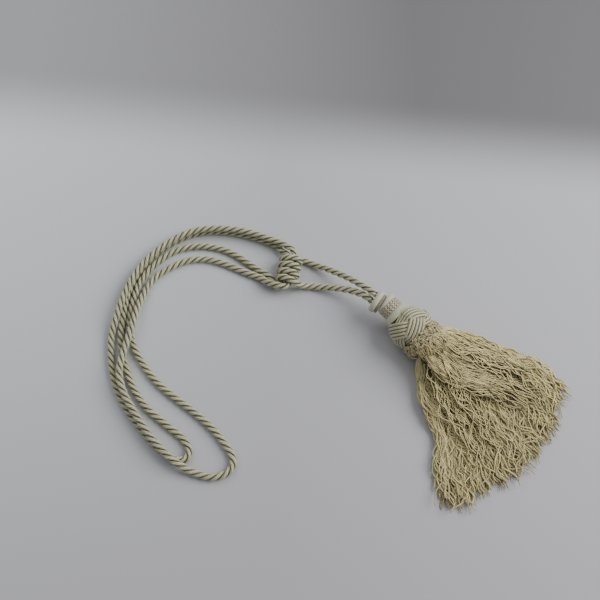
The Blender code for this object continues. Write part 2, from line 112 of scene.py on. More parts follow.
def smooth_path(points, step):
    """Points at an even step along a centripetal spline through the given points."""
    pts = [tuple(float(c) for c in p) for p in points]
    first = tuple(2 * a - b for a, b in zip(pts[0], pts[1]))
    last = tuple(2 * a - b for a, b in zip(pts[-1], pts[-2]))
    pts = [first] + pts + [last]
    fine = []
    for i in range(1, len(pts) - 2):
        p = pts[i - 1:i + 3]
        t = [0.0]
        for a, b in zip(p, p[1:]):
            t.append(t[-1] + max(math.dist(a[:3], b[:3]), 1e-6) ** 0.5)
        for k in range(SPAN_POINTS):
            u = t[1] + (t[2] - t[1]) * k / SPAN_POINTS
            a = [[((t[j + 1] - u) * x + (u - t[j]) * y) / (t[j + 1] - t[j])
                  for x, y in zip(p[j], p[j + 1])] for j in range(3)]
            b = [[((t[j + 2] - u) * x + (u - t[j]) * y) / (t[j + 2] - t[j])
                  for x, y in zip(a[j], a[j + 1])] for j in range(2)]
            fine.append([((t[2] - u) * x + (u - t[1]) * y) / (t[2] - t[1])
                         for x, y in zip(b[0], b[1])])
    fine.append(list(pts[-2]))
    run = [0.0]
    for a, b in zip(fine, fine[1:]):
        run.append(run[-1] + math.dist(a[:3], b[:3]))
    count = max(2, round(run[-1] / step))
    out, k = [], 0
    for i in range(count + 1):
        s = run[-1] * i / count
        while k < len(run) - 2 and run[k + 1] < s:
            k += 1
        f = (s - run[k]) / (run[k + 1] - run[k])
        out.append([a + (b - a) * f for a, b in zip(fine[k], fine[k + 1])])
    return out


def carried_frames(path):
    """Point, tangent and two normals along a path, carried without spin."""
    pts = [Vector(p[:3]) for p in path]
    frames, normal = [], None
    for i, p in enumerate(pts):
        tangent = (pts[min(i + 1, len(pts) - 1)] - pts[max(i - 1, 0)]).normalized()
        if normal is None:
            normal = tangent.cross(Vector((0, 0, 1)) if abs(tangent.z) < 0.9 else Vector((1, 0, 0)))
            normal.normalize()
        normal = (normal - tangent * normal.dot(tangent)).normalized()
        frames.append((p, tangent, normal, tangent.cross(normal)))
    return frames


class Yarns:
    """Collects round tubes and turned bodies into one mesh with a UV map: around, along in mm."""

    def __init__(self):
        self.verts, self.faces, self.uvs, self.tint = [], [], [], []

    def tube(self, path, radius, sides, floor=None, tint=0.5, outward=None, taper=False):
        """A round tube; outward, where given, is the side that gets u = 0 at each point."""
        start, along = len(self.verts), 0.0
        frames = carried_frames(path)
        for i, (p, t, n, b) in enumerate(frames):
            if outward:
                n = (outward[i] - t * outward[i].dot(t)).normalized()
                b = t.cross(n)
            r = radius(i) if callable(radius) else radius
            if taper and i in (0, len(frames) - 1):
                r *= TAPER
            for k in range(sides):
                a = 2 * math.pi * k / sides
                v = p + (n * math.cos(a) + b * math.sin(a)) * r
                if floor is not None and v.z < floor:
                    v.z = floor
                self.verts.append(v * MM)
        for i in range(len(frames) - 1):
            step = (frames[i + 1][0] - frames[i][0]).length
            for k in range(sides):
                a, b = start + i * sides + k, start + i * sides + (k + 1) % sides
                self.faces.append((a, b, b + sides, a + sides))
                self.uvs += [(k / sides, along), ((k + 1) / sides, along),
                             ((k + 1) / sides, along + step), (k / sides, along + step)]
                self.tint.append(tint)
            along += step
        for ring in (range(start + sides - 1, start - 1, -1),
                     range(len(self.verts) - sides, len(self.verts))):
            self.faces.append(tuple(ring))
            self.uvs += [(0.0, 0.0)] * sides
            self.tint.append(tint)

    def turned(self, place, profile, around, floor=None, tint=0.5):
        """A closed body from (along, radius) rows; place(along, radius, angle) gives a point."""
        start = len(self.verts)
        for along, radius in profile:
            for k in range(around):
                v = place(along, radius, 2 * math.pi * k / around)
                if floor is not None and v.z < floor:
                    v.z = floor
                self.verts.append(v * MM)
        rows, run = len(profile), 0.0
        for row in range(rows - 1):
            step = math.dist(profile[row], profile[row + 1])
            for k in range(around):
                a, b = start + row * around + k, start + row * around + (k + 1) % around
                self.faces.append((a, b, b + around, a + around))
                self.uvs += [(k / around, run), ((k + 1) / around, run),
                             ((k + 1) / around, run + step), (k / around, run + step)]
                self.tint.append(tint)
            run += step
        for ring in (range(start + around - 1, start - 1, -1),
                     range(len(self.verts) - around, len(self.verts))):
            self.faces.append(tuple(ring))
            self.uvs += [(0.0, 0.0)] * around
            self.tint.append(tint)

    def build(self, name, material):
        """One smooth mesh object of all that was collected, with its UV map and its tint."""
        mesh = bpy.data.meshes.new(name)
        mesh.from_pydata(self.verts, [], self.faces)
        layer = mesh.uv_layers.new(name="UVMap")
        layer.data.foreach_set("uv", [c for uv in self.uvs for c in uv])
        shade = mesh.attributes.new("tint", "FLOAT", "FACE")
        shade.data.foreach_set("value", self.tint)
        mesh.shade_smooth()
        mesh.validate()
        mesh.materials.append(material)
        ob = bpy.data.objects.new(name, mesh)
        scene.collection.objects.link(ob)
        return ob


def add(tree, kind, values=(), links=(), **settings):
    """Adds a shader node, sets its input values and links its inputs, and returns it."""
    item = tree.nodes.new(kind)
    for key, value in settings.items():
        setattr(item, key, value)
    for key, value in dict(values).items():
        item.inputs[key].default_value = value
    for key, socket in dict(links).items():
        tree.links.new(socket, item.inputs[key])
    return item


def thread_material(name, dark, light, lines, pitch, depth, rough, sheen=0.25, hollow_shade=None,
                    turned=(-0.45, 0.50), spread=(0.72, 1.18)):
    """Threads drawn as fine lines from the UV map: lines around, one turn per pitch mm along.
    dark fills the lines; the hollow colour, where given, is painted shade: it darkens the side
    turned away from u = 0, between the two cosines of turned, as grooves, gaps and undersides in
    shade. The tint attribute and a soft noise vary the light colour within
    spread."""
    mat = bpy.data.materials.new(name)
    mat.use_nodes = True
    tree = mat.node_tree
    shader = tree.nodes["Principled BSDF"]
    uv = add(tree, "ShaderNodeUVMap", uv_map="UVMap")
    split = add(tree, "ShaderNodeSeparateXYZ", links={"Vector": uv.outputs["UV"]})
    u = add(tree, "ShaderNodeMath", {1: lines}, {0: split.outputs["X"]}, operation="MULTIPLY")
    v = add(tree, "ShaderNodeMath", {1: pitch}, {0: split.outputs["Y"]}, operation="DIVIDE")
    turn = add(tree, "ShaderNodeMath", links={0: u.outputs[0], 1: v.outputs[0]}, operation="ADD")
    angle = add(tree, "ShaderNodeMath", {1: 2 * math.pi}, {0: turn.outputs[0]},
                operation="MULTIPLY")
    wave = add(tree, "ShaderNodeMath", links={0: angle.outputs[0]}, operation="SINE")
    height = wave.outputs[0]
    groove = add(tree, "ShaderNodeMapRange", {"From Min": -1.0, "From Max": 0.1},
                 {"Value": height})
    where = add(tree, "ShaderNodeTexCoord")
    noise = add(tree, "ShaderNodeTexNoise", {"Scale": 160.0, "Detail": 3.0},
                {"Vector": where.outputs["Object"]})
    tint = add(tree, "ShaderNodeAttribute", attribute_name="tint")
    mean = add(tree, "ShaderNodeMath", links={0: tint.outputs["Fac"], 1: noise.outputs["Fac"]},
               operation="ADD")
    value = add(tree, "ShaderNodeMapRange", {"From Min": 0.2, "From Max": 1.8,
                                             "To Min": spread[0], "To Max": spread[1]},
                {"Value": mean.outputs[0]})
    vary = add(tree, "ShaderNodeHueSaturation", {"Color": lin(light)},
               {"Value": value.outputs[0]})
    colour = add(tree, "ShaderNodeMix", {"A": lin(dark)},
                 {"Factor": groove.outputs[0], "B": vary.outputs["Color"]}, data_type="RGBA")
    # Painted shade: the side of a thread turned away from u = 0 is mixed towards the given shade
    # colour.
    if hollow_shade:
        around = add(tree, "ShaderNodeMath", {1: 2 * math.pi}, {0: split.outputs["X"]},
                     operation="MULTIPLY")
        facing = add(tree, "ShaderNodeMath", links={0: around.outputs[0]}, operation="COSINE")
        lit = add(tree, "ShaderNodeMapRange", {"From Min": turned[0], "From Max": turned[1]},
                  {"Value": facing.outputs[0]}, interpolation_type="SMOOTHSTEP")
        colour = add(tree, "ShaderNodeMix", {"A": lin(hollow_shade)},
                     {"Factor": lit.outputs[0], "B": colour.outputs["Result"]},
                     data_type="RGBA")
    tree.links.new(colour.outputs["Result"], shader.inputs["Base Color"])
    bump = add(tree, "ShaderNodeBump", {"Strength": 0.7, "Distance": depth * MM},
               {"Height": height})
    tree.links.new(bump.outputs["Normal"], shader.inputs["Normal"])
    shader.inputs["Roughness"].default_value = rough
    shader.inputs["Sheen Weight"].default_value = sheen
    shader.inputs["Sheen Roughness"].default_value = 0.5
    return mat


def rope(name, points, material):
    """Three strands laid round the middle line; returns the piece and its middle in metres."""
    path = smooth_path(points, STRAND_STEP)
    frames = carried_frames(path)
    yarns, run = Yarns(), 0.0
    turns = []
    for i in range(len(frames)):
        if i:
            run += (frames[i][0] - frames[i - 1][0]).length
        turns.append(-2 * math.pi * run / ROPE_LAY)
    for strand in range(3):
        line, outward = [], []
        for (p, _, n, b), q, turn in zip(frames, (row[3] for row in path), turns):
            a = turn + strand * 2 * math.pi / 3
            outward.append(n * math.cos(a) + b * math.sin(a))
            line.append(p + outward[-1] * (ROPE_R - STRAND_R) * q)
        sizes = [STRAND_R * row[3] for row in path]
        yarns.tube(line, lambda i, s=sizes: s[i], STRAND_SIDES, floor=NEAR_TABLE,
                   tint=0.35 + 0.3 * strand / 2, outward=outward)
    return yarns.build(name, material), [tuple(p * MM) for p, _, _, _ in frames], run * MM


# The rope yarn's hollow colour is painted shade on the inner side of each strand, in the grooves
# between the strands.
rope_yarn = thread_material("rope_yarn", "#9A9873", "#D3D2AF", 5, 9.0, 0.20, 0.42, 0.2,
                            hollow_shade="#585439", turned=(-0.35, 0.95))
embrace, embrace_line, embrace_length = rope("embrace_cord", EMBRACE, rope_yarn)
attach(embrace, "root")
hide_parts("embrace_rope")

# ---- hanger rope --------------------------------------------------------------------------------
# Comes in from the collar, winds 3.5 turns round the pinched ring and goes back to the collar.
LEG_IN = (
    (-44.8, -0.9, 28.4, 1), (-50, -0.9, 27.8, 1), (-57, -1.3, 26.6, 1), (-64, -2.2, 24.8, 1),
    (-71.5, -2.7, 22.3, 1), (-79.5, -3.5, 19.3, 1), (-88, -4.5, 15.8, 1), (-97, -6.1, 12.1, 1),
    (-106, -7.6, 8.3, 1), (-115, -10.4, 5.2, 1), (-123.9, -13, 4, 1), (-133.2, -18.2, 3.5, 0.97),
)
LEG_OUT = (
    (-117.4, -43.3, 17, 0.95), (-113.3, -41.1, 13.3, 1), (-110.8, -39.1, 9, 1),
    (-108.2, -36, 5.8, 1), (-103.5, -31.2, 4.3, 1), (-95.6, -25.2, 5.4, 1), (-87, -19.8, 8.5, 1),
    (-79, -15.6, 12.1, 1), (-72, -12.2, 15.2, 1), (-65, -9.9, 18.2, 1), (-59, -8.2, 20.6, 1),
    (-52, -7, 22.7, 1), (-44.2, -6.9, 24, 1),
)
KNOT_X, KNOT_Y, KNOT_Z = -129.7, -34.1, 10.5
KNOT_AXIS = (0.571, -0.821)
WRAP_TURNS, WRAP_PITCH, WRAP_START = 3.5, 7.7, -13.4
WRAP_WIDE, WRAP_HIGH, WRAP_SIZE = 9.2, 7.1, 0.93
WRAP_POINTS = 12                          # points of one turn
SLANT_START, SLANT_END = -0.32, -0.02     # lean of the first and the last turn


def wrap_points():
    """The middle line of the wraps, from the end of the leg in to the start of the leg out."""
    ax, ay = KNOT_AXIS
    count = int(WRAP_TURNS * WRAP_POINTS)
    out = []
    for i in range(count + 1):
        turn = WRAP_TURNS * i / count
        a = -math.pi / 2 - 2 * math.pi * turn
        side = WRAP_WIDE * math.cos(a)
        slant = SLANT_START + (SLANT_END - SLANT_START) * i / count
        s = WRAP_START + WRAP_PITCH * turn + slant * side
        out.append((KNOT_X - ay * side + ax * s, KNOT_Y + ax * side + ay * s,
                    KNOT_Z + WRAP_HIGH * math.sin(a), WRAP_SIZE))
    return tuple(out)


hanger, hanger_line, hanger_length = rope("hanger_cord", LEG_IN + wrap_points() + LEG_OUT,
                                          rope_yarn)
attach(hanger, "root")
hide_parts("hanger_rope")

# ---- collar -------------------------------------------------------------------------------------
# Satin covered bead: a bright rounded rim towards the legs, and a cove towards the neck in a darker
# copy of the satin, painted shade.
HEAD_RISE = math.radians(7.4)
AROUND = 72           # sides of the turned satin bodies
BALL_R, BALL_Z = 22.0, 21.7
BACK = Vector((-math.cos(HEAD_RISE), 0, math.sin(HEAD_RISE)))
SIDE = Vector((0, 1, 0))
UPWARD = Vector((math.sin(HEAD_RISE), 0, math.cos(HEAD_RISE)))
HEAD = (Vector((0, 0, BALL_Z)), BACK, SIDE, UPWARD)


def about(axes):
    """A function that places (along, radius, angle) round the given centre and axes."""
    centre, axis, side, upward = axes
    return lambda along, radius, angle: (
        centre + axis * along + (side * math.cos(angle) + upward * math.sin(angle)) * radius)


COLLAR_AT, COLLAR_TURN, COLLAR_RISE = Vector((-38.6, -4.4, 25.3)), math.radians(191), 0.115
collar_axis = Vector((math.cos(COLLAR_TURN), math.sin(COLLAR_TURN), COLLAR_RISE)).normalized()
collar_side = Vector((0, 0, 1)).cross(collar_axis).normalized()
COLLAR = (COLLAR_AT, collar_axis, collar_side, collar_axis.cross(collar_side))
satin = thread_material("satin_thread", "#A5A384", "#D9D7B8", 96, 400.0, 0.10, 0.36, 0.4)
# The cove's satin is the rim's satin painted darker: painted shade in the cove.
cove_satin_shade = thread_material("cove_satin_shade", "#6F6E59", "#8F8E78", 96, 400.0, 0.10, 0.5, 0.2)
body = Yarns()
body.turned(about(COLLAR), (
    (-1.3, 10.2), (-1.1, 10.9), (-0.4, 11.4), (0.5, 11.65), (1.6, 11.65), (2.7, 11.35),
    (3.6, 10.6), (4.2, 9.6), (4.4, 8.2), (4.4, 3.0)), AROUND)
rim = body.build("collar_rim", satin)
cove = Yarns()
cove.turned(about(COLLAR), (
    (-4.4, 8.6), (-4.3, 9.2), (-4.0, 9.7), (-3.3, 10.1), (-2.6, 10.0), (-1.9, 9.7),
    (-1.3, 9.9), (-1.1, 6.0)), AROUND)
cove = cove.build("collar_cove", cove_satin_shade)
for piece in (rim, cove):
    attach(piece, "root")
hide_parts("collar")

# ---- neck bead ----------------------------------------------------------------------------------
# A thin pale ring between the collar and the braid, a wedge that is thicker where the collar
# leans away.
BEAD_SHEAR, BEAD_THIN_SIDE = 0.19, 10.0
BEAD_FROM, BEAD_LONG = 30.6, 2.1      # where the wedge starts to lean, and how far it goes on


def wedge(along, radius, angle):
    """Places a point of the ring, whose face towards the collar leans to one side."""
    share = min(1.0, max(0.0, (along - BEAD_FROM) / BEAD_LONG))
    lean = BEAD_SHEAR * share * (radius * math.cos(angle) + BEAD_THIN_SIDE)
    return about(HEAD)(along + lean, radius, angle)


bead = Yarns()
bead.turned(wedge, (
    (30.1, 9.6), (30.2, 10.4), (30.6, 10.95), (31.3, 11.2), (32.0, 10.95), (32.5, 10.3),
    (32.7, 9.4)), AROUND)
bead = bead.build("neck_ring", satin)
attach(bead, "root")
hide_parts("neck_bead")

# ---- braid band ---------------------------------------------------------------------------------
# Pinkish sleeve braided from fine threads that cross over and under each other.
BRAID_R, BRAID_FROM, BRAID_TO = 10.6, 21.9, 29.6
BRAID_THREADS, BRAID_THREAD_R, BRAID_EDGE_R = 20, 0.6, 0.45
BRAID_STEPS, BRAID_SIDES = 16, 48
BRAID_TURN, BRAID_LIFT = 0.85, 0.28       # turn of a thread over the sleeve, and its rise
braid_yarn = thread_material("braid_yarn", "#857A62", "#CFC6AE", 3, 2.2, 0.06, 0.75)
braid = Yarns()
braid.turned(about(HEAD), ((BRAID_FROM - 0.2, 9.4), (BRAID_FROM - 0.2, BRAID_R - 0.5),
                           (BRAID_TO + 0.2, BRAID_R - 0.5), (BRAID_TO + 0.2, 9.4)),
             BRAID_SIDES, tint=0.0)
for way in (-1, 1):
    for k in range(BRAID_THREADS):
        line = []
        for i in range(BRAID_STEPS + 1):
            f = i / BRAID_STEPS
            a = 2 * math.pi * k / BRAID_THREADS + way * (f - 0.5) * BRAID_TURN
            lift = BRAID_LIFT * math.sin(BRAID_THREADS * a * way) * way
            line.append(about(HEAD)(BRAID_FROM + (BRAID_TO - BRAID_FROM) * f,
                                    BRAID_R - 0.1 + lift, a))
        braid.tube(line, BRAID_THREAD_R, 6, tint=0.3 + 0.5 * (k % 3) / 2)
for end in (BRAID_FROM, BRAID_TO):
    ring = [about(HEAD)(end, BRAID_R - 0.1, 2 * math.pi * k / BRAID_SIDES)
            for k in range(BRAID_SIDES + 1)]
    braid.tube(ring, BRAID_EDGE_R, 6, tint=0.7)
braid = braid.build("neck_braid", braid_yarn)
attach(braid, "root")
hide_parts("braid_band")

# ---- neck cone ----------------------------------------------------------------------------------
# Satin covered cone that widens from the braid to the ball.
cone = Yarns()
cone.turned(about(HEAD), (
    (14.2, 12.0), (14.3, 14.0), (15.2, 14.2), (16.6, 13.6), (18.2, 12.8), (19.8, 12.0),
    (20.8, 11.5), (21.3, 10.8), (21.35, 9.0)), AROUND)
cone = cone.build("satin_cone", satin)
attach(cone, "root")
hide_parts("neck_cone")

# ---- knot ball ----------------------------------------------------------------------------------
# One closed band of five parallel cords, three times round with four bights, woven over and
# under itself on a dark core, which is painted shade for the gaps of the weave.
CORDS, CORD_PITCH, CORD_R = 5, 3.4, 1.5
BAND_SWING, WEAVE_LIFT = 10.5, 1.3
WEAVE_TURN = math.radians(80.0)
WEAVE_SNAP = 2.4          # how quickly a band changes between over and under
ROUNDS, BIGHTS = 3, 4
CORE_DEPTH, CORE_REACH, CORE_STEPS = 4.6, 52, 16      # depth, reach in degrees, rows
# The knot cord's hollow colour is painted shade on the sides of each cord, where it lies against
# its neighbours.
knot_cord = thread_material("knot_cord", "#8F8A69", "#CDC8A6", 5, 3.2, 0.08, 0.5,
                            hollow_shade="#2E2B20", turned=(0.05, 0.85))
# The core's dark colour is painted shade, seen through the gaps of the weave.
knot_core_shade = thread_material("knot_core_shade", "#2E2B20", "#3A3629", 60, 60.0, 0.05, 0.9)
TRACE = 480               # points along the band


def ball_direction(t):
    """Direction from the ball's centre to the middle of the band, along side, up and back."""
    lat = BAND_SWING / BALL_R * math.cos(BIGHTS * t)
    lon = ROUNDS * t + WEAVE_TURN
    return Vector((-math.cos(lat) * math.cos(lon), math.cos(lat) * math.sin(lon),
                   math.sin(lat)))


weave = Yarns()
for c in range(CORDS):
    off = (c - (CORDS - 1) / 2) * CORD_PITCH / BALL_R
    line, outward = [], []
    for i in range(TRACE + 1):
        t = 2 * math.pi * i / TRACE
        d = ball_direction(t)
        along = (ball_direction(t + 0.002) - ball_direction(t - 0.002)).normalized()
        spot = d * math.cos(off) + d.cross(along).normalized() * math.sin(off)
        over = math.tanh(WEAVE_SNAP * math.sin(2 * BIGHTS * t)) / math.tanh(WEAVE_SNAP)
        r = BALL_R - CORD_R - WEAVE_LIFT + WEAVE_LIFT * over
        outward.append(SIDE * spot.x + UPWARD * spot.y + BACK * spot.z)
        line.append(HEAD[0] + outward[-1] * r)
    weave.tube(line, CORD_R, 12, floor=0.0, tint=0.3 + 0.4 * (c % 2), outward=outward)
weave = weave.build("knot_weave", knot_cord)
core = Yarns()
core.turned(about(HEAD), [
    ((BALL_R - CORE_DEPTH) * math.sin(a), (BALL_R - CORE_DEPTH) * math.cos(a))
    for a in [math.radians(-CORE_REACH + 2 * CORE_REACH * i / CORE_STEPS)
              for i in range(CORE_STEPS + 1)]], 48)
core = core.build("knot_filling", knot_core_shade)
for piece in (weave, core):
    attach(piece, "root")
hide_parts("knot_ball")

# ---- ruff ---------------------------------------------------------------------------------------
# A collar of small crumpled loops of yarn, crowded on a round heading.
RUFF_LOOPS, RUFF_YARN_R = 480, 0.6
RUFF_FROM, RUFF_LONG, RUFF_R = -11.6, 11.2, 18.7      # along the axis, and round it
RUFF_WINDS, GOLDEN = 7, 0.618034      # the loops are strewn round and along by these two
LOOP_FROM, LOOP_TURN, LOOP_STEPS = -30, 240, 10       # a loop's arc in degrees, and its points
ruff_yarn = thread_material("ruff_yarn", "#94885F", "#D2C69C", 3, 2.0, 0.06, 0.75,
                            spread=(0.62, 1.12))
rng = random.Random(11)
ruff = Yarns()
ruff.turned(about(HEAD), ((-11.6, 12.0), (-11.8, 16.0), (-13.0, 18.2), (-16.5, 18.8),
                          (-21.0, 18.2), (-22.8, 15.5), (-22.8, 10.0)), 64, floor=0.4, tint=0.35)
for k in range(RUFF_LOOPS):
    along = RUFF_FROM - RUFF_LONG * ((k * GOLDEN) % 1.0)
    angle = 2 * math.pi * k / RUFF_LOOPS * RUFF_WINDS + rng.uniform(-0.1, 0.1)
    base = about(HEAD)(along, RUFF_R + rng.uniform(-0.6, 0.6), angle)
    outward = (base - (HEAD[0] + BACK * along)).normalized()
    across = BACK.cross(outward)
    lean = rng.uniform(-1.3, 1.3)
    flat = BACK * math.cos(lean) + across * math.sin(lean)
    tall, wide = rng.uniform(1.2, 2.2), rng.uniform(1.2, 2.3)
    tilt = (outward + across * rng.uniform(-0.5, 0.5) + BACK * rng.uniform(-0.5, 0.5)).normalized()
    line = [base + flat * wide * math.cos(a) + tilt * tall * math.sin(a)
            for a in [math.radians(LOOP_FROM + LOOP_TURN * i / LOOP_STEPS)
                      for i in range(LOOP_STEPS + 1)]]
    ruff.tube(line, RUFF_YARN_R, 5, floor=0.1, tint=rng.random())
ruff = ruff.build("ruff_loops", ruff_yarn)
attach(ruff, "root")
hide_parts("ruff")

# ---- skirt --------------------------------------------------------------------------------------
# Crinkled yarns that leave a round heading and spread into a flat fan on the table.
# Stations of the fan: left edge x, y; right edge x, y; bow of the middle; crest height.
FAN = (
    (31.0, -23.5, 26.0, 29.5, 8.0, 26.0),
    (58.0, -44.5, 60.0, 46.5, 9.0, 17.0),
    (86.0, -57.5, 88.0, 58.5, 13.0, 11.0),
    (112.0, -86.5, 116.0, 66.5, 17.0, 8.5),
)
TIPS = ((127.0, -97.5), (136.0, -95.5), (141.5, -87.0), (150.0, -71.5), (157.0, -52.0),
        (164.0, -35.0), (165.5, -10.0), (164.5, 8.0), (160.0, 25.5), (152.0, 44.0),
        (144.0, 64.0))
TIP_HIGH, LOW = 6.5, 0.8      # heights of the top and the bottom of the fan's edge
HEADING_AT, HEADING_R = 23.4, 15.5
YARN_R, YARN_SIDES, YARN_POINTS = 0.6, 4, 42
LINE_STEP = 1.5               # spacing of the points of a smoothed line
LOCK = 4                      # yarns that start side by side and share their waves
WAVES_GROW, CALM_OVER = 30.0, 120.0       # from the heading: waves come up, calm fades out
DENSER = 0.35                 # points of a yarn lie this much closer together towards its tip
CURL_FROM, CURL_LONG, CURL_HIGH = 30.0, 12.0, 0.65    # curl of the tips: reach, length, height
VALLEY_AT, VALLEY_WIDE = 0.27, 0.13       # hollow under the sweeping bundle, across the fan
VALLEY_DEEP = (0.75, 0.85, 0.4, 0.0)      # its depth at the stations
FULL_REACH = 0.985                        # share of its line that the longest usual yarn takes
LONG_SHARE, LONG_REACH = 0.04, (1.0, 1.04)            # the few that stand out beyond the edge
CORNER, CORNER_MORE = (0.02, 0.13), 0.045             # the longer corner on the left
BUNDLE_UP, BUNDLE_SAG = 0.32, 0.03        # height of a bundle against its width, and its slump
PHASE = 6.28                              # one turn, for random phases
# Layers: name, yarns, lowest and highest share of the height, swing of the waves, freedom of a
# yarn within its lock, shortest reach, palest tint. The palest tint is painted shade: low for the
# layer beneath, high for the top.
LAYERS = (
    ("skirt_under", 430, 0.00, 0.36, 0.7, 0.5, 0.84, 0.30),
    ("skirt_middle", 400, 0.30, 0.78, 1.1, 1.0, 0.70, 1.00),
    ("skirt_top", 330, 0.70, 1.08, 1.7, 1.6, 0.55, 1.40),
)
# Bundles that sweep over the others: yarns, half width, x, y, z of the middle line.
BUNDLES = (
    (84, 5.5, (
        (20.5, -8, 26), (30, -12.5, 30), (44, -14, 29), (60, -11, 25), (76, -1, 22),
        (93, 11, 17), (107, 20, 13.5), (125, 26, 10), (144, 28, 8))),
    (100, 8.0, (
        (20.5, 3, 27), (33, 1, 29.5), (49, 2, 26), (66, 9, 22), (80, 19, 18), (95, 33, 14.5),
        (112, 43, 11), (130, 50, 8.5))),
)
# Single yarns that drop out of the bundles and cross the others: number, x, y, z of the middle.
STRAYS = (
    (34, ((22, -6, 28), (36, -11, 27), (52, -20, 20), (70, -27, 15), (90, -34, 12),
          (112, -42, 10), (132, -50, 9))),
    (16, ((42, -5, 30), (58, -7, 27), (74, -10, 20), (92, -14, 15), (112, -18, 12),
          (134, -22, 9.5), (152, -26, 8))),
    (20, ((26, 9, 29.5), (44, 12, 28), (64, 21, 23.5), (86, 31, 17), (110, 36, 12.5),
          (134, 38, 9.5), (152, 37, 8))),
)
# Short curled yarns that bulge over the front of the ruff: number, radius, spacing of points, and
# the middle line as place along the axis, radius, share of the turn and share of the sway.
CROWN, CROWN_R, CROWN_STEP = 170, 0.6, 1.2
CROWN_LINE = ((-20.3, 16.5, 0.0, 0.0), (-21.6, 19.4, 0.1, 0.0), (-25.5, 20.2, 0.4, 0.4),
              (-30.0, 18.8, 0.8, 1.0), (-34.5, 15.5, 1.0, 1.6), (-38.5, 11.0, 0.7, 1.8),
              (-41.5, 7.0, 0.3, 1.8))
skirt_yarn = thread_material("skirt_yarn", "#94854C", "#E2D59F", 2, 1.8, 0.05, 0.62, 0.2,
                             spread=(0.30, 1.26))
# The sweep yarn's hollow colour is painted shade on the sides and underside of each yarn, leaving a
# painted highlight along its top.
sweep_yarn = thread_material("sweep_yarn", "#8C7C44", "#EADA9C", 2, 1.8, 0.05, 0.58, 0.2,
                             hollow_shade="#34290F", turned=(0.35, 1.0), spread=(0.16, 1.50))


def tip_point(u):
    """Point on the edge of the fan, at the share u of its length from the left."""
    lengths = [math.dist(a, b) for a, b in zip(TIPS, TIPS[1:])]
    s = u * sum(lengths)
    for (a, b), length in zip(zip(TIPS, TIPS[1:]), lengths):
        if s <= length:
            f = s / length
            return a[0] + (b[0] - a[0]) * f, a[1] + (b[1] - a[1]) * f
        s -= length
    return TIPS[-1]


def heading_point(u, w):
    """Point on the round heading, u across and w up."""
    a, b = 2 * u - 1, 2 * min(w, 1.0) - 1
    x, y = a * math.sqrt(1 - b * b / 2), b * math.sqrt(1 - a * a / 2)
    return HEAD[0] - BACK * HEADING_AT + (SIDE * x + UPWARD * y) * HEADING_R


def fan_line(u, w, wander):
    """A smooth line from the heading to a tip; wander holds a sideways shift for each station."""
    knots = [heading_point(u, w)]
    dip = math.exp(-((u - VALLEY_AT) / VALLEY_WIDE) ** 2)
    for (xl, yl, xr, yr, bow, high), deep in zip(FAN, VALLEY_DEEP):
        lift = high * (0.5 + 0.5 * math.sin(math.pi * u) ** 0.6) * (1 - deep * dip)
        knots.append(Vector((xl + (xr - xl) * u + bow * 4 * u * (1 - u), yl + (yr - yl) * u,
                             LOW + (lift - LOW) * w)))
    knots.append(Vector((*tip_point(u), LOW + (TIP_HIGH - LOW) * w)))
    edge = min(1.0, 8 * min(u, 1 - u) + 0.25)
    for k in range(1, len(knots)):
        along = (knots[k] - knots[k - 1]).normalized()
        side = Vector((-along.y, along.x, 0)).normalized()
        knots[k] = knots[k] + side * wander[k] * edge
    return smooth_path([tuple(k) for k in knots], LINE_STEP)


def crinkled(total, reach, waves, rise, calm=0.0):
    """The line cut to reach and set swinging sideways and up in the given waves; calm holds the
    waves back near the heading."""
    keep = max(12, int(len(total) * reach))
    step = (keep - 1) / (YARN_POINTS - 1)
    out = []
    for i in range(YARN_POINTS):
        f = i * step * (1 + DENSER * (1 - i / (YARN_POINTS - 1)))
        k = min(int(f), len(total) - 2)
        p = Vector(total[k][:3]).lerp(Vector(total[k + 1][:3]), f - k)
        q = Vector(total[k + 1][:3]) - Vector(total[k][:3])
        side = Vector((-q.y, q.x, 0)).normalized()
        s = f * LINE_STEP
        grow = min(1.0, s / WAVES_GROW) * (1 - calm * max(0.0, 1 - s / CALM_OVER))
        for size, phase, wide in waves:
            p += side * grow * wide * math.sin(2 * math.pi * s / size + phase)
        curl = min(1.0, max(0.0, 1 - (keep * LINE_STEP - s) / CURL_FROM))
        p += side * curl * CURL_HIGH * math.sin(2 * math.pi * s / CURL_LONG + 3 * waves[0][1])
        p.z += grow * rise[2] * math.sin(2 * math.pi * s / rise[0] + rise[1])
        p.z = max(p.z, YARN_R + NEAR_TABLE)
        out.append(p)
    return out


def wave_set(rng, swing):
    """Wave length, phase and height of the sideways waves of a lock of yarns, and of its rise."""
    return ([(rng.uniform(14, 24), rng.uniform(0, PHASE), rng.uniform(0.3, 1.0) * swing),
             (rng.uniform(30, 55), rng.uniform(0, PHASE), rng.uniform(1.0, 2.6) * swing)],
            (rng.uniform(18, 34), rng.uniform(0, PHASE), rng.uniform(0.3, 0.8) * swing))


def own_waves(shared, rng, free, far=1.0):
    """A yarn's own waves: those of its lock, shifted and scaled."""
    waves, rise = shared
    return ([(size, phase + rng.uniform(-free, free), wide * rng.uniform(0.5, 1.5) * far)
             for size, phase, wide in waves],
            (rise[0], rise[1] + rng.uniform(-free, free), rise[2]))


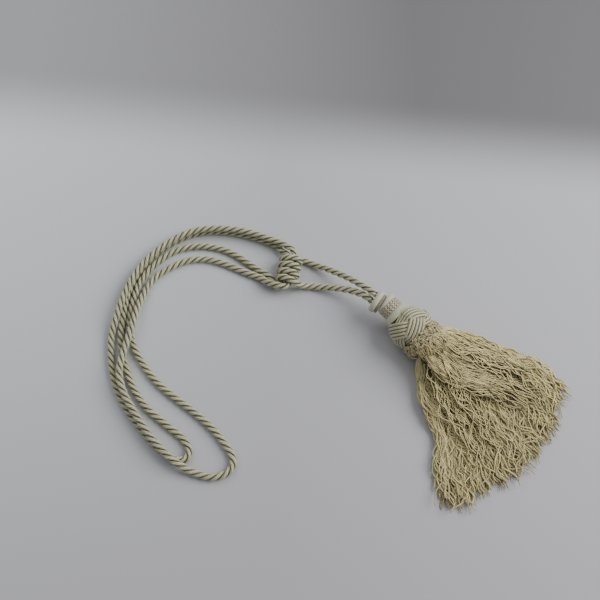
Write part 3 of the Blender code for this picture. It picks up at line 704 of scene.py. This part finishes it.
skirt_layers = []
for name, count, low, high, swing, free, shortest, pale in LAYERS:
    rng = random.Random(name)
    yarns = Yarns()
    for k in range(count):
        if k % LOCK == 0:
            shared = wave_set(rng, swing)
            middle = (k + LOCK / 2 + rng.uniform(-4, 4)) / count
            level, shade = rng.uniform(low, high), rng.random()
            drift = [rng.uniform(-1, 1) * (1.2 + 1.8 * n) for n in range(6)]
        u = min(1.0, max(0.0, middle + rng.uniform(-0.5, 0.5) * 2.0 * LOCK / count))
        w = min(high, max(low, level + rng.uniform(-0.12, 0.12)))
        reach = FULL_REACH - (FULL_REACH - shortest) * rng.random() ** 1.8
        if rng.random() < LONG_SHARE:
            reach = rng.uniform(*LONG_REACH)
        if CORNER[0] < u < CORNER[1]:
            reach += CORNER_MORE
        wander = [d + rng.uniform(-1, 1) * (0.4 + 0.7 * free * n) for n, d in enumerate(drift)]
        calm = max(0.8 * min(1.0, max(0.0, (u - 0.38) / 0.3)), 0.85 - 5 * u)
        far = 1.8 if swing > 1 and 0.15 < u < 0.9 and rng.random() < 0.15 else 1.0
        path = crinkled(fan_line(u, w, wander), reach, *own_waves(shared, rng, free, far), calm)
        # The tint holds painted shade and light: the layer's palest tint keeps the lower layers
        # darker, as shade beneath the others, and the rise past u = 0.6 is painted light on the
        # right of the fan; the rest is random tone.
        yarns.tube(path, YARN_R, YARN_SIDES, floor=NEAR_TABLE,
                   tint=pale * (0.5 * shade + 0.6 * rng.random()) + 0.8 * max(0.0, u - 0.6) - 0.1,
                   taper=True)
    skirt_layers.append(yarns.build(name, skirt_yarn))
yarns = Yarns()
rng = random.Random(5)
# u = 0 on top of each bundle and stray yarn, so its painted highlight lies along the top and
# painted shade on its sides.
facing_up = [Vector((0, 0, 1))] * YARN_POINTS
for count, wide, middle in BUNDLES:
    base = smooth_path(middle, LINE_STEP)
    for k in range(count):
        if k % LOCK == 0:
            shared, shade = wave_set(rng, 1.0), rng.random()
        a, r = rng.uniform(0, PHASE), wide * math.sqrt(rng.random())
        total = []
        for i, row in enumerate(base):
            ahead, behind = base[min(i + 1, len(base) - 1)], base[max(i - 1, 0)]
            side = Vector((behind[1] - ahead[1], ahead[0] - behind[0], 0)).normalized()
            grow = 0.7 + 2.2 * i / len(base)
            total.append(Vector(row[:3]) + side * r * math.cos(a) * grow
                         + Vector((0, 0, BUNDLE_UP * r * math.sin(a) - BUNDLE_SAG * r * r)))
        reach = 0.92 - 0.6 * rng.random()
        yarns.tube(crinkled(total, reach, *own_waves(shared, rng, 1.4), 0.3), YARN_R, YARN_SIDES,
                   floor=NEAR_TABLE, tint=1.1 * shade + 1.2 * rng.random() - 0.6,
                   outward=facing_up, taper=True)
for count, middle in STRAYS:
    for k in range(count):
        shift = rng.uniform(-9, 9)
        knots = [(x + rng.uniform(-2, 2), y + (shift + rng.uniform(-4, 4)) * min(1, n / 2),
                  z + rng.uniform(0, 1.5)) for n, (x, y, z) in enumerate(middle)]
        total = [Vector(row[:3]) for row in smooth_path(knots, LINE_STEP)]
        yarns.tube(crinkled(total, rng.uniform(0.45, 1.0), *wave_set(rng, 1.5)), YARN_R,
                   YARN_SIDES, floor=NEAR_TABLE, tint=0.7 + 0.6 * rng.random(),
                   outward=facing_up, taper=True)
for k in range(CROWN):
    start = rng.uniform(-0.75, 2.6)
    turn, curl = rng.uniform(-0.35, 0.35), rng.uniform(-0.3, 0.3)
    puff = rng.uniform(-1.0, 1.4)
    spots = [about(HEAD)(along - rng.uniform(0, 1.2), radius + puff * share,
                         start + turn * share + curl * sway * share)
             for along, radius, share, sway in CROWN_LINE]
    line = [Vector(row[:3]) for row in smooth_path([tuple(s) for s in spots], CROWN_STEP)]
    # u = 0 faces away from the axis, so the crown yarns get a painted highlight outside and painted
    # shade on the side towards the heading.
    outward = [p - HEAD[0] - BACK * (p - HEAD[0]).dot(BACK) for p in line]
    yarns.tube(line, CROWN_R, YARN_SIDES, floor=NEAR_TABLE, tint=1.2 * rng.random(),
               outward=outward, taper=True)
skirt_layers.append(yarns.build("skirt_bundles", sweep_yarn))
for layer in skirt_layers:
    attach(layer, "root")
    if layer.name == "skirt_middle":
        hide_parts("skirt")

# ---- table and light ----------------------------------------------------------------------------
# A flat pale grey table whose colour is painted with light and shade: lighter to the left and
# towards the back, and darker beyond a soft fold at the back that is only painted, as the shade of
# a backdrop; two broad soft lamps high on the far right and the far left, and an even grey room.
bpy.ops.mesh.primitive_plane_add(size=6.0, location=(0, 0, 0))
table = bpy.context.object
table.name = "table_top"
surface = bpy.data.materials.new("table_grey_painted_light")
surface.use_nodes = True
tree = surface.node_tree
shader = tree.nodes["Principled BSDF"]
where = add(tree, "ShaderNodeTexCoord")
AWAY, RIGHTWARD = (-0.7071, 0.7071, 0.0), (0.7071, 0.7071, 0.0)       # as the viewer stands
away = add(tree, "ShaderNodeVectorMath", {1: AWAY},
           {0: where.outputs["Object"]}, operation="DOT_PRODUCT")
across = add(tree, "ShaderNodeVectorMath", {1: RIGHTWARD},
             {0: where.outputs["Object"]}, operation="DOT_PRODUCT")
deep = add(tree, "ShaderNodeMapRange", {"From Min": -0.23, "From Max": 0.20},
           {"Value": away.outputs["Value"]})
left = add(tree, "ShaderNodeMapRange", {"From Min": -0.13, "From Max": -0.43},
           {"Value": across.outputs["Value"]})
# Painted light on the near table: lighter to the left and towards the fold.
near_right = add(tree, "ShaderNodeMix", {"A": lin("#B4B3B8"), "B": lin("#BFC0C3")},
                 {"Factor": deep.outputs[0]}, data_type="RGBA")
near_left = add(tree, "ShaderNodeMix", {"A": lin("#C3C3C7"), "B": lin("#DEE3E4")},
                {"Factor": deep.outputs[0]}, data_type="RGBA")
near = add(tree, "ShaderNodeMix", links={"Factor": left.outputs[0],
                                         "A": near_right.outputs["Result"],
                                         "B": near_left.outputs["Result"]}, data_type="RGBA")
# Painted shade beyond the fold, darkest on the right.
far_left = add(tree, "ShaderNodeMapRange", {"From Min": 0.03, "From Max": -0.43},
               {"Value": across.outputs["Value"]})
far = add(tree, "ShaderNodeMix", {"A": lin("#727174"), "B": lin("#A9A9AC")},
          {"Factor": far_left.outputs[0]}, data_type="RGBA")
# The painted fold runs a little askew, nearer to the viewer on the right.
askew = add(tree, "ShaderNodeMath", {1: 0.114}, {0: across.outputs["Value"],
                                                 2: away.outputs["Value"]},
            operation="MULTIPLY_ADD")
painted_fold = add(tree, "ShaderNodeMapRange", {"From Min": 0.176, "From Max": 0.287},
           {"Value": askew.outputs[0]}, interpolation_type="SMOOTHSTEP")
both = add(tree, "ShaderNodeMix", links={"Factor": painted_fold.outputs[0], "A": near.outputs["Result"],
                                         "B": far.outputs["Result"]}, data_type="RGBA")
tree.links.new(both.outputs["Result"], shader.inputs["Base Color"])
shader.inputs["Roughness"].default_value = 0.6
shader.inputs["Specular IOR Level"].default_value = 0.2
table.data.materials.append(surface)

LAMP_TO = Vector((-60, -40, 0))
for name, at, size, energy in (("lamp_right", Vector((580, 925, 1070)), 1.3, 28.0),
                               ("lamp_left", Vector((-1000, 120, 1150)), 1.2, 5.0)):
    bpy.ops.object.light_add(type="AREA", location=at * MM)
    lamp = bpy.context.object
    lamp.name = name
    lamp.rotation_euler = (at - LAMP_TO).to_track_quat("Z", "Y").to_euler()
    lamp.data.shape = "DISK"
    lamp.data.size = size
    lamp.data.energy = energy
world = bpy.data.worlds.new("room")
world.use_nodes = True
world.node_tree.nodes["Background"].inputs["Color"].default_value = lin("#E3E4E6")
world.node_tree.nodes["Background"].inputs["Strength"].default_value = 0.40
scene.world = world
